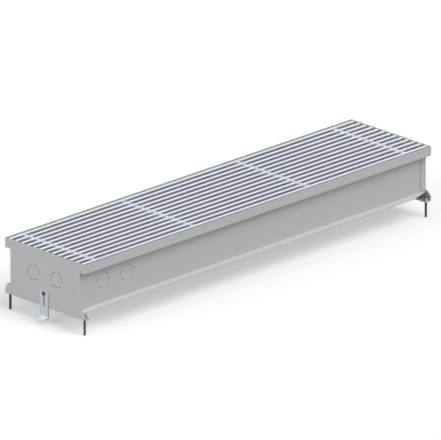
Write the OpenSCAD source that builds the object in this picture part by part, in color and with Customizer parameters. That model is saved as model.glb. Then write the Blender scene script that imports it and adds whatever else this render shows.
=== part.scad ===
// Trench convector heater: a folded sheet trough that is set into a floor, with a finned
// water coil inside, a loose grille of lengthwise bars on top, four levelling studs and
// two slotted floor brackets. +X runs from the connection end to the far end, +Z is up,
// and the origin is on the floor under the middle of the casing.

/* [Casing] */
// Length over the two end plates
casing_length = 1080; // [800:10:1600]
// Width over the two lips
casing_width = 250; // [220:1:320]
// Height of the end plates
casing_height = 130; // [120:1:170]
// Thickness of the side panels, coil supports and base plate
sheet = 1.25; // [1:0.05:1.5]
// Thickness of the end plates and cross braces
end_sheet = 1.5; // [1.2:0.1:2]
// Distance from a side wall's outer face out to the lip
overhang = 17; // [16:0.5:22]
// Height of the lip round the grille
lip_height = 22.5; // [20:0.5:24]
// Height of the base plate above the lower edge of the end plates
base_rise = 17.5; // [16:0.5:22]
// Inner radius of the folds in thin sheet
fold_r = 0.6; // [0.4:0.1:1.5]
// Length of the diagonal cut in the foot flanges at the far end
notch_length = 53; // [30:1:80]

/* [End plates] */
// Width of the flanges folded inwards from the end plates
return_width = 16; // [14:0.5:20]
// Height of the lower ears
ear_height = 22.5; // [21:0.5:26]
// Size of the chamfer on the lower ears
ear_chamfer = 10; // [4:0.5:12]
// Radius under the upper ears
ear_r = 3.5; // [1:0.5:6]
// Radius of the top corners
top_r = 1.5; // [0.5:0.5:3]
// Gap between a side tab and the ears
tab_relief = 1.5; // [1:0.5:4]

/* [Knock-outs] */
// Diameter of a knock-out
knockout_d = 36; // [26:1:40]
// Distance between two neighbouring knock-outs, and between the two water pipes
knockout_spacing = 72; // [60:1:80]
// Height of the knock-outs and pipes above the lower edge of the end plates
knockout_height = 72.5; // [68:0.5:76]
// Width of the cut round a knock-out
knockout_cut = 1; // [0.5:0.1:1.5]
// Width of the three tabs that hold a knock-out
knockout_tab = 4; // [2:0.5:6]

/* [Levelling studs] */
// Thread diameter of the studs
stud_d = 6; // [5:1:8]
// Length of a stud
stud_length = 50; // [46:1:60]
// How far a stud reaches below the end plates
stud_reach = 37.5; // [34:0.5:40]
// Distance from an end plate's outer face to a stud's axis
stud_inset = 7.5; // [7:0.1:8.5]
// Distance from a lip's outer face to a stud's axis
stud_margin = 8.5; // [8:0.1:10]
// Width across the flats of the M6 nuts
nut_flats = 10; // [9:0.5:10]
// Height of the weld nuts under the studs
weld_nut_height = 6.5; // [5:0.5:7]
// Radial clearance of a stud or screw in its thread
thread_play = 0.05; // [0.02:0.01:0.08]

/* [Floor brackets] */
// Width of a floor bracket
bracket_width = 25; // [20:1:40]
// Thickness of a floor bracket
bracket_sheet = 3; // [2:0.5:4]
// How far a bracket's upright reaches above the lower edge of the end plate
bracket_top = 40; // [39.5:0.5:50]
// How far a bracket reaches below the lower edge of the end plate
bracket_drop = 25.5; // [10:0.5:30]
// How far a bracket's foot stands out from the end plate
bracket_foot = 16.5; // [15:0.5:30]
// Inner radius of a bracket's fold
bracket_fold_r = 1.5; // [1:0.1:2]
// Height of the bracket screw above the lower edge of the end plate
bracket_screw_height = 33; // [30:0.5:33]
// Length of travel that the bracket's slot allows
bracket_travel = 27; // [10:0.5:27]
// Diameter of the hole in a bracket's foot
bracket_hole_d = 6.5; // [5:0.1:7]
// Distance from that hole's axis to the foot's outer edge
bracket_hole_margin = 5.5; // [5:0.1:8]
// Diameter of the bracket screw's head
screw_head_d = 10.5; // [10:0.5:12]
// Height of the bracket screw's head
screw_head_height = 3.3; // [3:0.1:4]
// Outer diameter of the washer under the head
washer_d = 12; // [11:0.5:16]
// Thickness of the washer
washer_sheet = 1; // [1:0.1:1.6]
// Gap on each side of the sliding bracket
slide_play = 0.1; // [0.05:0.05:0.2]

/* [Grille] */
// Distance between the grille bars
bar_pitch = 19; // [18:0.5:24]
// Width of a bar's top
bar_width = 7.5; // [7:0.5:9]
// Height of a bar
bar_height = 18; // [17:0.5:19]
// Thickness of a bar's top and foot
bar_cap = 2; // [1.5:0.1:2.4]
// Thickness of a bar's upright web
bar_web = 3; // [2:0.25:3.5]
// Width of a bar's foot
bar_foot = 6.5; // [5:0.5:7]
// Radius along the top edges of a bar
bar_edge_r = 0.6; // [0.4:0.1:1]
// Depth of the bars' tops below the lip's edge
bar_drop = 0.5; // [0.3:0.1:1.5]
// Least gap between the outer bars and the lip
bar_side_gap = 4; // [2:0.5:6]
// Gap between the bars' ends and the end plates
bar_end_gap = 2; // [1:0.5:4]
// Diameter of the cross rods
rod_d = 6; // [4:0.5:6]
// Depth of the cross rods below the bars' tops
rod_depth = 10.5; // [8:0.1:10.5]
// Distance of the outer rods from the ends of the casing
rod_inset = 57; // [40:1:80]
// Distance between the two inner rods
rod_inner_spacing = 358; // [200:2:420]
// Outer diameter of the spacer sleeves
spacer_d = 10; // [9:0.1:10]
// Gap between a rod and what it passes through
rod_play = 0.1; // [0.05:0.05:0.15]
// Width of the damping tape under the outer bars
tape_width = 10; // [8:0.5:12]
// Gap between the grille and its tape
grille_play = 0.1; // [0.05:0.05:0.2]

/* [Coil] */
// Outer diameter of the water pipes
pipe_d = 15; // [12:1:16]
// Wall thickness of the water pipes
pipe_wall = 1; // [0.7:0.1:1.2]
// Distance from the connection end to the mouths of the water connections
mouth_inset = 150; // [120:5:220]
// Distance from the far end to the centre of the return bend
bend_inset = 60; // [56:1:90]
// Distance between the fins
fin_pitch = 9; // [8:0.5:14]
// Thickness of a fin
fin_sheet = 0.5; // [0.4:0.1:0.8]
// Width of a fin
fin_width = 140; // [120:1:150]
// Height of a fin
fin_height = 56; // [40:1:58]
// Size of the clipped corners of a fin
fin_clip = 6; // [2:0.5:10]
// Wall thickness of the fins' collars
collar_wall = 1; // [0.6:0.1:1.5]
// Gap between a pipe and what holds it
pipe_play = 0.3; // [0.1:0.1:0.5]
// Gap between brazed pieces
braze_play = 0.05; // [0.02:0.01:0.08]
// Depth of a brazed socket
socket_depth = 9; // [6:0.5:10]
// Wall thickness of a brazed socket
socket_wall = 1; // [0.8:0.1:1.5]
// Diameter of the G1/2 thread's core in the water connections
connection_d = 18.6; // [15:0.1:18.6]
// Depth of that thread
connection_depth = 13; // [10:0.5:14]
// Width across the flats of a water connection
connection_flats = 27; // [25:1:30]
// Length of a water connection
connection_length = 26; // [25:1:32]

/* [Coil supports] */
// Width of a coil support
support_width = 152; // [144:1:160]
// Height of a coil support above the pipes' axes
support_above = 31; // [16:1:32]
// Length of a coil support's foot
support_foot = 15; // [12:0.5:18]
// Distance between the rivets of a coil support
rivet_spacing = 110; // [60:2:120]
// Diameter of a rivet
rivet_d = 4; // [3:0.5:5]
// Diameter of a rivet's heads
rivet_head_d = 7.2; // [6:0.2:8]
// Height of a rivet's heads
rivet_head_height = 1; // [0.6:0.1:1.4]
// Width of the window in a coil support
window_width = 34; // [20:1:40]
// Height of that window
window_height = 36; // [20:1:40]

/* [Cross braces] */
// Distance between the two cross braces
brace_spacing = 360; // [200:10:500]
// Width of a cross brace
brace_width = 20; // [16:1:30]
// Depth of a cross brace
brace_depth = 9; // [6:0.5:9]
// Height of the tab at each end of a brace
brace_tab = 18; // [14:1:24]

/* [Bleed valve] */
// Diameter of the valve's thread
bleed_d = 8; // [6:0.5:9]
// Width across the flats of the valve
bleed_flats = 11; // [10:0.5:12]
// Height of the valve's hexagon
bleed_height = 6.5; // [5:0.5:7]
// Diameter of the bleed screw
bleed_screw_d = 4.8; // [4:0.2:5]
// Side of the bleed screw's square
bleed_square = 5; // [4:0.25:6]

/* [Hidden] */
$fn = 64;
eps = 0.01;
overcut = 1;
grey = [0.72, 0.72, 0.73];
dark_steel = [0.32, 0.32, 0.33];
zinc = [0.80, 0.82, 0.86];
silver = [0.88, 0.89, 0.94];
spacer_grey = [0.82, 0.83, 0.86];
fin_silver = [0.76, 0.78, 0.80];
copper = [0.78, 0.46, 0.30];
brass = [0.80, 0.66, 0.36];
black = [0.08, 0.08, 0.09];

// Half sizes and levels of the casing
x_end = casing_length / 2;
x_inside = x_end - end_sheet;
y_lip = casing_width / 2;
y_wall = y_lip - overhang;
y_inside = y_wall - sheet;
y_web = y_wall + end_sheet;
z_foot = stud_reach;
z_base = z_foot + base_rise;
z_floor = z_base + sheet;
z_top = z_foot + casing_height;
z_shelf = z_top - lip_height;
z_ear = z_foot + ear_height;
z_tab = z_ear + tab_relief;
tab_height = z_shelf - tab_relief - z_tab;
z_pipe = z_foot + knockout_height;
knockout_r = knockout_d / 2;
knockout_sites = [1, 2];

// Levelling studs and their nuts
stud_r = stud_d / 2;
stud_chamfer = 0.8;
stud_slot = [1, 1.6];
stud_x = x_end - stud_inset;
stud_y = y_lip - stud_margin;
stud_hole_play = 0.5;

// Floor brackets, their screws, washers and nuts
bracket_back = x_end + slide_play;
bracket_face = bracket_back + bracket_sheet;
washer_back = bracket_face + slide_play;
washer_face = washer_back + washer_sheet;
z_screw = z_foot + bracket_screw_height;
screw_r = stud_r;
slot_play = 0.2;
slot_r = screw_r + slot_play;
clinch_nut_height = 5;
screw_tail = 1.5;
bracket_corner_r = 5;
hex_socket_flats = 4;
hex_socket_depth = 2;

// Grille
z_bar_top = z_top - bar_drop;
z_bar = z_bar_top - bar_height;
bar_room = casing_width - 2 * (sheet + bar_side_gap) - bar_width;
bar_count = floor(bar_room / bar_pitch) + 1;
bar_length = 2 * (x_inside - bar_end_gap);
bar_y = [for (i = [0 : bar_count - 1]) (i - (bar_count - 1) / 2) * bar_pitch];
y_outer_bar = bar_y[bar_count - 1];
rod_r = rod_d / 2;
rod_x = [for (x = [x_end - rod_inset, rod_inner_spacing / 2], side = [-1, 1]) side * x];
rod_names = ["near_end", "far_end", "near_middle", "far_middle"];
z_rod = z_bar_top - rod_depth;
rod_head_r = 4;
rod_head_height = 2;
z_shelf_top = z_shelf + sheet;
tape_sheet = z_bar - z_shelf_top - grille_play;

// Coil: the connections, fins and return bend along the casing
pipe_r = pipe_d / 2;
pipe_y = knockout_spacing / 2;
x_mouth = -x_end + mouth_inset;
x_pipe_start = x_mouth + connection_length - socket_depth;
x_bend = x_end - bend_inset;
collar_r = pipe_r + braze_play + collar_wall;
socket_r = pipe_r + braze_play + socket_wall;
connection_r = connection_d / 2;
connection_neck_r = 11;
connection_hex_length = connection_depth + socket_wall;
near_support_gap = 16;
fin_support_gap = 8;
far_support_gap = 6;
x_near_support = x_mouth + connection_length + near_support_gap;
x_first_fin = x_near_support + fin_support_gap;
x_far_support = x_bend - socket_depth - far_support_gap;
fin_count = floor((x_far_support - fin_support_gap - x_first_fin) / fin_pitch) + 1;
x_last_fin = x_first_fin + (fin_count - 1) * fin_pitch;
x_middle_support = x_first_fin + (floor(fin_count / 2) + 0.5) * fin_pitch;
window_rise = 6;
rivet_play = 0.05;
rivet_margin = 6.5;
rivet_x = support_foot - rivet_margin;
brace_play = 0.3;
z_brace = z_bar - brace_play;

// Bleed valve on the return connection
boss_inset = 15.5;
boss_rise = 2;
boss_r = 5.5;
x_bleed = x_mouth + boss_inset;
z_boss = z_pipe + connection_flats / 2 + boss_rise;
bleed_port_r = 1;
bleed_stub = 5;
z_bleed = z_boss + bleed_height;
bleed_screw_depth = 5;
bleed_square_height = 4;

// ---------------------------------------------------------------- shared shapes

function unit(v) = v / norm(v);

// A rectangle between two opposite corners, given in any order
module span(a, b) {
    low = [min(a.x, b.x), min(a.y, b.y)];
    high = [max(a.x, b.x), max(a.y, b.y)];
    translate(low) square(high - low);
}

// A quarter ring round its centre, on the side of the two axis directions given
module quarter_ring(u, v, inner_r, outer_r) {
    intersection() {
        difference() {
            circle(outer_r);
            circle(inner_r);
        }
        span([0, 0], (u + v) * outer_r);
    }
}

// Section of sheet folded at right angles along a middle line, each fold a true arc
module folded(path, thick, inner_r) {
    last = len(path) - 1;
    middle_r = inner_r + thick / 2;
    for (i = [0 : last - 1]) {
        along = unit(path[i + 1] - path[i]);
        start = path[i] + (i > 0 ? along * middle_r : [0, 0]);
        end = path[i + 1] - (i + 1 < last ? along * middle_r : [0, 0]);
        side = [abs(along.y), abs(along.x)] * thick / 2;
        forward = along.x + along.y;
        span(start - forward * side, end + forward * side);
    }
    for (i = [1 : last - 1]) {
        before = unit(path[i] - path[i - 1]);
        after = unit(path[i + 1] - path[i]);
        translate(path[i] + (after - before) * middle_r)
            quarter_ring(before, -after, inner_r, inner_r + thick);
    }
}

// What has to come off the corner at the origin to round it; the sheet lies towards u and v
module corner_waste(u, v, r) {
    difference() {
        span((u + v) * -eps, (u + v) * r);
        translate((u + v) * r) circle(r);
    }
}

// Sections in Y and Z drawn out along X, sections in X and Z along Y, both centred
module along_x(length) {
    rotate([90, 0, 90]) linear_extrude(length, center = true) children();
}

module along_y(length) {
    rotate([90, 0, 0]) linear_extrude(length, center = true) children();
}

module hexagon(flats, height) {
    cylinder(r = flats / 2 / cos(30), h = height, $fn = 6);
}

// The two ends of the casing: what is drawn for the far end, turned round for the near end
module at_end(side) {
    if (side > 0) children();
    else mirror([1, 0, 0]) children();
}

// ---------------------------------------------------------------- casing

// The ring cut that leaves a knock-out hanging on three tabs
module knockout_ring() {
    difference() {
        circle(knockout_r + knockout_cut / 2);
        circle(knockout_r - knockout_cut / 2);
        for (turn = [90, 210, 330])
            rotate(turn) translate([0, -knockout_tab / 2]) square([knockout_d, knockout_tab]);
    }
}

// The corner taken out of both foot flanges at the far end, over the levelling studs
module notch_waste() {
    reach = y_lip - y_wall;
    linear_extrude(sheet * 2 + 2 * eps)
        polygon([
            [x_end - notch_length, y_lip],
            [x_end - notch_length, y_lip + overcut],
            [x_end + overcut, y_lip + overcut],
            [x_end + overcut, y_wall - overcut * reach / notch_length],
        ]);
}

module base_plate() {
    color(grey) difference() {
        translate([-x_inside, -y_lip, z_base]) cube([2 * x_inside, casing_width, sheet]);
        for (side = [0, 1])
            mirror([0, side, 0]) translate([0, 0, z_base - eps]) notch_waste();
        for (site = rivet_sites())
            translate([site.x, site.y, z_base - eps])
                cylinder(r = rivet_d / 2 + rivet_play, h = sheet + 2 * eps);
    }
}

// The edge taken off a wall where it would meet the inside of an end plate's folded corner
module fold_waste() {
    translate([x_inside - fold_r - eps, y_inside - eps, z_tab - eps])
        cube([fold_r + 2 * eps, sheet + 2 * eps, tab_height + 2 * eps]);
}

// The wall, its foot flange, and the shelf and lip that hold the grille, all one sheet
module side_panel() {
    z_flange = z_floor + sheet / 2;
    z_ledge = z_shelf + sheet / 2;
    y_middle = y_wall - sheet / 2;
    color(grey) difference() {
        along_x(2 * x_inside) folded([
            [y_lip, z_flange],
            [y_middle, z_flange],
            [y_middle, z_ledge],
            [y_lip - sheet / 2, z_ledge],
            [y_lip - sheet / 2, z_top],
        ], sheet, fold_r);
        translate([0, 0, z_floor - eps]) notch_waste();
        for (side = [-1, 1]) at_end(side) fold_waste();
        for (k = knockout_sites)
            translate([-x_end + k * knockout_spacing, y_wall + eps, z_pipe])
                rotate([90, 0, 0]) linear_extrude(sheet + 2 * eps) knockout_ring();
    }
}

module front_side_panel() {
    mirror([0, 1, 0]) side_panel();
}

module back_side_panel() {
    side_panel();
}

// Outline of an end plate: upper ears over the shelves, a web, and lower ears over the studs
module end_outline() {
    difference() {
        union() {
            translate([-y_lip, z_shelf]) square([casing_width, lip_height]);
            translate([-y_web, z_foot]) square([2 * y_web, casing_height]);
            translate([-y_lip, z_foot]) square([casing_width, ear_height]);
        }
        for (side = [0, 1]) mirror([side, 0]) {
            translate([y_lip, z_top]) corner_waste([-1, 0], [0, -1], top_r);
            translate([y_lip, z_shelf]) corner_waste([-1, 0], [0, 1], ear_r);
            polygon([
                [y_lip - ear_chamfer, z_ear],
                [y_lip + eps, z_ear],
                [y_lip + eps, z_ear - ear_chamfer],
            ]);
        }
    }
}

// One end plate, drawn for the far end: the flat, its bottom flange and its two side tabs
module end_plate(with_knockouts) {
    middle = x_end - end_sheet / 2;
    fold = fold_r + end_sheet;
    color(grey) difference() {
        union() {
            translate([middle, 0, 0]) along_x(end_sheet) difference() {
                end_outline();
                translate([-y_lip, z_foot]) square([casing_width, fold + eps]);
                for (side = [0, 1]) mirror([side, 0])
                    translate([y_web - fold, z_tab - eps])
                        square([fold + eps, tab_height + 2 * eps]);
            }
            along_y(casing_width) folded([
                [x_end - return_width, z_foot + end_sheet / 2],
                [middle, z_foot + end_sheet / 2],
                [middle, z_foot + 2 * fold],
            ], end_sheet, fold_r);
            for (side = [0, 1]) mirror([0, side, 0])
                translate([0, 0, z_tab]) linear_extrude(tab_height) folded([
                    [x_end - return_width, y_web - end_sheet / 2],
                    [middle, y_web - end_sheet / 2],
                    [middle, y_web - 2 * fold],
                ], end_sheet, fold_r);
        }
        for (side = [-1, 1])
            translate([stud_x, side * stud_y, z_foot - eps])
                cylinder(r = stud_r + stud_hole_play, h = end_sheet + 2 * eps);
        translate([x_inside - eps, 0, z_screw])
            rotate([0, 90, 0]) cylinder(r = slot_r, h = end_sheet + 2 * eps);
        if (with_knockouts)
            for (side = [-1, 1])
                translate([middle, side * pipe_y, z_pipe])
                    rotate([90, 0, 90])
                        linear_extrude(end_sheet + 2 * eps, center = true) knockout_ring();
    }
}

module near_end_plate() {
    at_end(-1) end_plate(true);
}

module far_end_plate() {
    at_end(1) end_plate(false);
}

// A shallow channel across the trough that keeps the walls apart and carries the bars
module cross_brace(x) {
    z_skin = z_brace - end_sheet / 2;
    y_tab = y_inside - end_sheet / 2;
    y_flat = y_inside - end_sheet - fold_r;
    color(grey) translate([x, 0, 0]) {
        along_x(brace_width) folded([
            [-y_tab, z_brace - brace_tab],
            [-y_tab, z_skin],
            [y_tab, z_skin],
            [y_tab, z_brace - brace_tab],
        ], end_sheet, fold_r);
        for (side = [-1, 1])
            translate([side * (brace_width - end_sheet) / 2, 0, z_brace - brace_depth / 2])
                cube([end_sheet, 2 * y_flat, brace_depth], center = true);
    }
}

// ---------------------------------------------------------------- feet and brackets

module levelling_nuts() {
    color(zinc)
        for (side = [-1, 1], row = [-1, 1])
            translate([side * stud_x, row * stud_y, z_foot + end_sheet]) difference() {
                rotate(30) hexagon(nut_flats, weld_nut_height);
                translate([0, 0, -eps])
                    cylinder(r = stud_r + thread_play, h = weld_nut_height + 2 * eps);
            }
}

// A threaded stud with bevelled ends and a driver slot on top
module levelling_stud(side, row) {
    color(dark_steel) translate([side * stud_x, row * stud_y, 0]) difference() {
        rotate_extrude() polygon([
            [0, 0],
            [stud_r - stud_chamfer, 0],
            [stud_r, stud_chamfer],
            [stud_r, stud_length - stud_chamfer],
            [stud_r - stud_chamfer, stud_length],
            [0, stud_length],
        ]);
        translate([0, 0, stud_length - stud_slot.y / 2 + eps])
            cube([2 * stud_d, stud_slot.x, stud_slot.y], center = true);
    }
}

// An angle whose upright has the slot that the bracket screw passes through
module floor_bracket() {
    z_low = z_foot - bracket_drop;
    z_high = z_foot + bracket_top;
    upright = bracket_face - bracket_sheet / 2;
    z_slot = z_screw - bracket_travel;
    color(zinc) difference() {
        along_y(bracket_width) folded([
            [x_end + bracket_foot, z_low + bracket_sheet / 2],
            [upright, z_low + bracket_sheet / 2],
            [upright, z_high],
        ], bracket_sheet, bracket_fold_r);
        translate([upright, 0, 0]) along_x(2 * bracket_sheet) {
            translate([0, z_screw]) circle(slot_r);
            translate([0, z_slot]) circle(slot_r);
            translate([-slot_r, z_slot]) square([2 * slot_r, bracket_travel]);
            for (side = [0, 1]) mirror([side, 0])
                translate([bracket_width / 2, z_high])
                    corner_waste([-1, 0], [0, -1], bracket_corner_r);
        }
        translate([x_end + bracket_foot - bracket_hole_margin, 0, z_low - eps])
            cylinder(r = bracket_hole_d / 2, h = bracket_sheet + 2 * eps);
    }
}

module bracket_screws() {
    tail = x_inside - clinch_nut_height - screw_tail;
    color(black)
        for (side = [-1, 1]) at_end(side) translate([0, 0, z_screw]) rotate([0, 90, 0])
            difference() {
                union() {
                    translate([0, 0, tail]) cylinder(r = screw_r, h = washer_face - tail);
                    translate([0, 0, washer_face])
                        cylinder(d = screw_head_d, h = screw_head_height);
                }
                translate([0, 0, washer_face + screw_head_height - hex_socket_depth])
                    hexagon(hex_socket_flats, hex_socket_depth + eps);
            }
}

module bracket_washers() {
    color(zinc)
        for (side = [-1, 1]) at_end(side)
            translate([washer_back, 0, z_screw]) rotate([0, 90, 0]) difference() {
                cylinder(d = washer_d, h = washer_sheet);
                translate([0, 0, -eps]) cylinder(r = slot_r, h = washer_sheet + 2 * eps);
            }
}

// Nuts pressed on the inner faces of the end plates
module bracket_nuts() {
    color(zinc)
        for (side = [-1, 1]) at_end(side)
            translate([x_inside - clinch_nut_height, 0, z_screw]) rotate([0, 90, 0])
                difference() {
                    hexagon(nut_flats, clinch_nut_height);
                    translate([0, 0, -eps])
                        cylinder(r = screw_r + thread_play, h = clinch_nut_height + 2 * eps);
                }
}

// ---------------------------------------------------------------- coil

module fin_outline() {
    z_low = z_pipe - fin_height / 2;
    difference() {
        translate([-fin_width / 2, z_low]) square([fin_width, fin_height]);
        for (side = [0, 1]) mirror([side, 0]) translate([fin_width / 2, z_pipe])
            for (up = [0, 1]) mirror([0, up])
                polygon([
                    [eps, fin_height / 2 + eps],
                    [-fin_clip, fin_height / 2 + eps],
                    [eps, fin_height / 2 - fin_clip],
                ]);
        for (side = [-1, 1]) translate([side * pipe_y, z_pipe]) circle(collar_r - collar_wall / 2);
    }
}

// Thin fins on two sleeves that their collars form round the pipes
module fin_pack() {
    length = x_last_fin - x_first_fin + fin_sheet;
    color(fin_silver) {
        for (i = [0 : fin_count - 1])
            translate([x_first_fin + i * fin_pitch, 0, 0]) along_x(fin_sheet) fin_outline();
        for (side = [-1, 1])
            translate([(x_first_fin + x_last_fin) / 2, side * pipe_y, z_pipe])
                rotate([0, 90, 0]) difference() {
                    cylinder(r = collar_r, h = length, center = true);
                    cylinder(r = pipe_r + braze_play, h = length + 2 * eps, center = true);
                }
    }
}

// A straight copper pipe from its connection to the return bend
module pipe(side) {
    color(copper) translate([x_pipe_start, side * pipe_y, z_pipe]) rotate([0, 90, 0])
        difference() {
            cylinder(r = pipe_r, h = x_bend - x_pipe_start);
            translate([0, 0, -eps])
                cylinder(r = pipe_r - pipe_wall, h = x_bend - x_pipe_start + 2 * eps);
        }
}

// Half a ring of pipe with a widened socket over the end of each straight pipe
module return_bend() {
    color(copper) translate([x_bend, 0, z_pipe]) {
        rotate(-90) rotate_extrude(angle = 180) translate([pipe_y, 0]) difference() {
            circle(socket_r);
            circle(pipe_r - pipe_wall);
        }
        for (side = [-1, 1])
            translate([0, side * pipe_y, 0]) rotate([0, -90, 0]) difference() {
                cylinder(r = socket_r, h = socket_depth);
                translate([0, 0, -eps])
                    cylinder(r = pipe_r + braze_play, h = socket_depth + 2 * eps);
            }
    }
}

// A brass piece with a thread for the water pipe outside and a socket for the coil's pipe
module connection(side, with_boss) {
    socket_start = connection_length - socket_depth;
    color(brass) difference() {
        union() {
            translate([x_mouth, side * pipe_y, z_pipe]) rotate([0, 90, 0]) {
                rotate(30) hexagon(connection_flats, connection_hex_length);
                cylinder(r = connection_neck_r, h = connection_length);
            }
            if (with_boss)
                translate([x_bleed, side * pipe_y, z_pipe])
                    cylinder(r = boss_r, h = z_boss - z_pipe);
        }
        translate([x_mouth, side * pipe_y, z_pipe]) rotate([0, 90, 0]) {
            translate([0, 0, -eps]) cylinder(r = connection_r, h = connection_depth);
            cylinder(r = pipe_r - pipe_wall, h = connection_length);
            translate([0, 0, socket_start])
                cylinder(r = pipe_r + braze_play, h = socket_depth + eps);
        }
        if (with_boss)
            translate([x_bleed, side * pipe_y, 0]) {
                translate([0, 0, z_boss - bleed_stub])
                    cylinder(r = bleed_d / 2 + thread_play, h = bleed_stub + eps);
                translate([0, 0, z_pipe]) cylinder(r = bleed_port_r, h = z_boss - z_pipe);
            }
    }
}

module bleed_valve_body() {
    color(brass) translate([x_bleed, pipe_y, 0]) difference() {
        union() {
            translate([0, 0, z_boss - bleed_stub]) cylinder(d = bleed_d, h = bleed_stub);
            translate([0, 0, z_boss]) hexagon(bleed_flats, bleed_height);
        }
        translate([0, 0, z_bleed - bleed_screw_depth])
            cylinder(r = bleed_screw_d / 2 + thread_play, h = bleed_screw_depth + eps);
        translate([0, 0, z_boss - bleed_stub - eps])
            cylinder(r = bleed_port_r, h = bleed_stub + bleed_height);
    }
}

module bleed_screw() {
    color(brass) translate([x_bleed, pipe_y, z_bleed + thread_play]) {
        translate([0, 0, -bleed_screw_depth + 2 * thread_play])
            cylinder(d = bleed_screw_d, h = bleed_screw_depth);
        translate([0, 0, bleed_square_height / 2])
            cube([bleed_square, bleed_square, bleed_square_height], center = true);
    }
}

// ---------------------------------------------------------------- coil supports

// Where each support stands, and the side that its foot points to
support_x = [x_near_support, x_middle_support, x_far_support];
support_turn = [-1, 1, 1];

function rivet_sites() = [
    for (i = [0 : 2], side = [-1, 1])
        [support_x[i] + support_turn[i] * rivet_x, side * rivet_spacing / 2]
];

// An angle that stands on the base plate, with a hole for each pipe and a window between them
module coil_support(i) {
    z_high = z_pipe + support_above;
    hole_r = (i == 1 ? collar_r : pipe_r) + pipe_play;
    color(grey) translate([support_x[i], 0, 0]) difference() {
        along_y(support_width) folded([
            [support_turn[i] * support_foot, z_floor + sheet / 2],
            [0, z_floor + sheet / 2],
            [0, z_high],
        ], sheet, fold_r);
        for (side = [-1, 1])
            translate([-sheet, side * pipe_y, z_pipe])
                rotate([0, 90, 0]) cylinder(r = hole_r, h = 2 * sheet);
        translate([0, 0, z_floor + sheet + window_rise + window_height / 2])
            cube([2 * sheet, window_width, window_height], center = true);
        for (side = [-1, 1])
            translate([support_turn[i] * rivet_x, side * rivet_spacing / 2, z_floor - eps])
                cylinder(r = rivet_d / 2 + rivet_play, h = sheet + 2 * eps);
    }
}

// Rivets through the supports' feet and the base plate
module support_rivets() {
    color(zinc)
        for (site = rivet_sites()) translate([site.x, site.y, 0]) {
            translate([0, 0, z_base]) cylinder(d = rivet_d, h = 2 * sheet);
            for (z = [z_base - rivet_head_height, z_base + 2 * sheet])
                translate([0, 0, z]) cylinder(d = rivet_head_d, h = rivet_head_height);
        }
}

// ---------------------------------------------------------------- grille

// Strip of damping tape on a shelf, under the outer bar
module rest_tape(side) {
    color(black)
        translate([-bar_length / 2, side * y_outer_bar - tape_width / 2, z_shelf_top])
            cube([bar_length, tape_width, tape_sheet]);
}

// I-section of a bar, with rounded edges along its top
module bar_section() {
    difference() {
        union() {
            translate([-bar_width / 2, bar_height - bar_cap]) square([bar_width, bar_cap]);
            translate([-bar_web / 2, 0]) square([bar_web, bar_height]);
            translate([-bar_foot / 2, 0]) square([bar_foot, bar_cap]);
        }
        for (side = [0, 1]) mirror([side, 0])
            translate([bar_width / 2, bar_height])
                corner_waste([-1, 0], [0, -1], bar_edge_r);
    }
}

// The bars are numbered from the front
module grille_bar(i) {
    color(silver) difference() {
        translate([0, bar_y[i - 1], z_bar]) along_x(bar_length) bar_section();
        for (x = rod_x)
            translate([x, bar_y[i - 1], z_rod]) rotate([90, 0, 0])
                cylinder(r = rod_r + rod_play, h = 2 * bar_web, center = true);
    }
}

// A rod through all the bars, riveted over outside the outer webs
module grille_rod(k) {
    reach = y_outer_bar + bar_web / 2;
    color(silver) translate([rod_x[k], 0, z_rod]) rotate([90, 0, 0]) {
        cylinder(r = rod_r, h = 2 * reach, center = true);
        for (side = [-1, 1])
            translate([0, 0, side * (reach + rod_head_height / 2)])
                cylinder(r = rod_head_r, h = rod_head_height, center = true);
    }
}

// Sleeves on the rods that keep the bars at their pitch
module grille_spacers() {
    color(spacer_grey)
        for (x = rod_x, i = [0 : bar_count - 2])
            translate([x, bar_y[i] + bar_pitch / 2, z_rod]) rotate([90, 0, 0]) difference() {
                cylinder(d = spacer_d, h = bar_pitch - bar_web, center = true);
                cylinder(r = rod_r + rod_play, h = bar_pitch, center = true);
            }
}

// ---------------------------------------------------------------- the nodes

base_plate();
front_side_panel();
back_side_panel();
near_end_plate();
far_end_plate();
cross_brace(-brace_spacing / 2);  // cross_brace_near
cross_brace(brace_spacing / 2);  // cross_brace_far
levelling_nuts();
levelling_stud(-1, -1);  // levelling_stud_near_front
levelling_stud(-1, 1);  // levelling_stud_near_back
levelling_stud(1, -1);  // levelling_stud_far_front
levelling_stud(1, 1);  // levelling_stud_far_back
at_end(-1) floor_bracket();  // near_floor_bracket
at_end(1) floor_bracket();  // far_floor_bracket
bracket_screws();
bracket_washers();
bracket_nuts();
fin_pack();
pipe(-1);  // front_pipe
pipe(1);  // back_pipe
return_bend();
connection(-1, false);  // flow_connection
connection(1, true);  // return_connection
bleed_valve_body();
bleed_screw();
coil_support(0);  // coil_support_near
coil_support(1);  // coil_support_middle
coil_support(2);  // coil_support_far
support_rivets();
rest_tape(-1);  // front_rest_tape
rest_tape(1);  // back_rest_tape
grille_spacers();
for (k = [0 : len(rod_names) - 1])
    grille_rod(k);
for (i = [1 : bar_count])
    grille_bar(i);
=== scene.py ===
# %% [markdown]
# # A trench convector heater
# The heater is a long trough of folded grey sheet that is set into a floor. Warm water runs
# through a finned coil inside it, and a grille of bright aluminium bars lies on top. The
# construction is already fixed at its real size, so this lesson only dresses it: it gives every
# surface its finish, models the small turned and pressed parts in full, and sets up the studio.
# Blender counts in metres, so sizes in millimetres are written with the factor MM.

import math

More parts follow.
